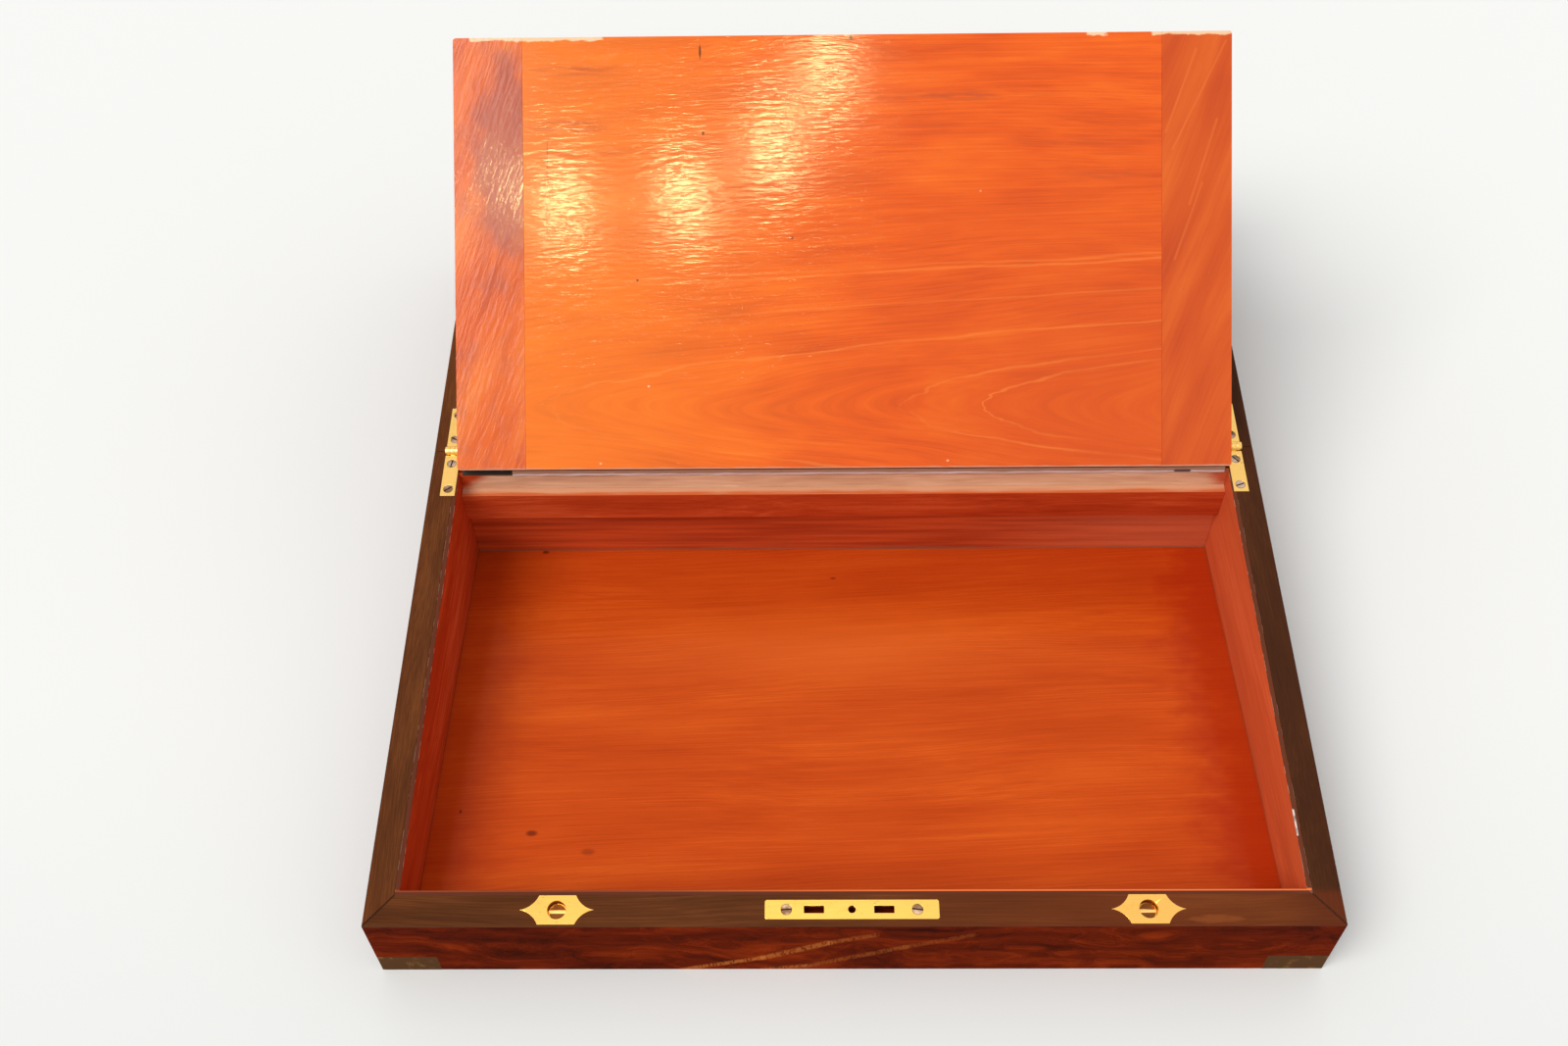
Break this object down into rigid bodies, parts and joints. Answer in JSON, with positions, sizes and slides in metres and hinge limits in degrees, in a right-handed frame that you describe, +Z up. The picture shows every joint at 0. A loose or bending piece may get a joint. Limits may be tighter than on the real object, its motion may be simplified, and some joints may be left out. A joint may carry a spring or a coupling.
{
  "type": "writing slope",
  "caption": "Hinged wooden writing slope opened flat, with a raised writing flap over the lid compartment, leather skins, pen tray with ink bottles, box lock and brass fittings.",
  "frame": {"origin": "on the table under the middle of the hinge line, at the bottom centre of the opened box", "axes": "+X to the writer's right along the hinge, +Y away from the writer up the slope, +Z up"},
  "size_m": [0.4, 0.47, 0.2165],
  "materials": {
    "outer_mahogany": "polished dark mahogany, close grain",
    "rim_banding": "dark crossbanding, worn satin",
    "inner_mahogany": "polished red mahogany",
    "flap_mahogany": "bright polished mahogany with lengthwise grain",
    "writing_leather": "fine-grained skiver, worn",
    "polished_brass": "polished, lightly scratched",
    "dull_brass": "tarnished brown",
    "screw_steel": "bright heads, dark slots",
    "green_baize": "napped wool cloth",
    "bottle_glass": "clear, faintly green"
  },
  "bodies": {
    "base": {"base_baize": "green_baize", "base_bottom_board": "inner_mahogany", "base_corners": "dull_brass", "base_hinge_leaves": "polished_brass", "base_hinge_ledge": "inner_mahogany", "base_hinge_wall": "outer_mahogany", "base_leaf_screws": "screw_steel", "base_left_banding": "rim_banding", "base_left_wall": "outer_mahogany", "base_lock_banding": "rim_banding", "base_lock_wall": "outer_mahogany", "base_right_banding": "rim_banding", "base_right_wall": "outer_mahogany", "far_flap_board": "flap_mahogany", "far_flap_left_clamp": "flap_mahogany", "far_flap_right_clamp": "flap_mahogany", "far_leather": "writing_leather", "flap_bearer": "inner_mahogany", "hinge_pins": "screw_steel", "ink_bottles": "bottle_glass", "ink_caps": "polished_brass", "keyhole_escutcheon": "polished_brass", "locating_studs": "polished_brass", "lock_case": "polished_brass", "lock_screws": "screw_steel", "pen_tray": "inner_mahogany"},
    "lid": {"catch_plate": "polished_brass", "catch_screws": "screw_steel", "lid_corners": "dull_brass", "lid_free_banding": "rim_banding", "lid_free_ledge": "inner_mahogany", "lid_free_lining": "inner_mahogany", "lid_free_wall": "outer_mahogany", "lid_hinge_leaves": "polished_brass", "lid_hinge_ledge": "inner_mahogany", "lid_hinge_lining": "inner_mahogany", "lid_hinge_wall": "outer_mahogany", "lid_leaf_screws": "screw_steel", "lid_left_banding": "rim_banding", "lid_left_lining": "inner_mahogany", "lid_left_wall": "outer_mahogany", "lid_right_banding": "rim_banding", "lid_right_lining": "inner_mahogany", "lid_right_wall": "outer_mahogany", "lid_strip_leather": "writing_leather", "lid_top_board": "inner_mahogany", "lid_top_veneer": "outer_mahogany", "locating_sockets": "polished_brass", "socket_screws": "screw_steel"},
    "near_flap": {"near_flap_board": "flap_mahogany", "near_flap_leather": "writing_leather", "near_flap_left_clamp": "flap_mahogany", "near_flap_right_clamp": "flap_mahogany"},
    "lock_bolt": {"lock_bolt": "polished_brass"}
  },
  "joints": [
    {"name": "lid_close", "type": "hinge", "parent": "base", "child": "lid", "pos_m": [0, 0, 0.073], "axis": [-1, 0, 0], "range_deg": [0, 180]},
    {"name": "near_flap_fold", "type": "hinge", "parent": "lid", "child": "near_flap", "pos_m": [0, -0.0136, 0.07118], "axis": [-1, 0, 0], "range_deg": [-146, 0]},
    {"name": "lock_bolt_slide", "type": "slide", "parent": "base", "child": "lock_bolt", "axis": [1, 0, 0], "range_m": [0, 0.003]}
  ],
  "couplings": [
    {"joint": "near_flap_fold", "follows": "lid_close", "ratio": -0.81111}
  ]
}
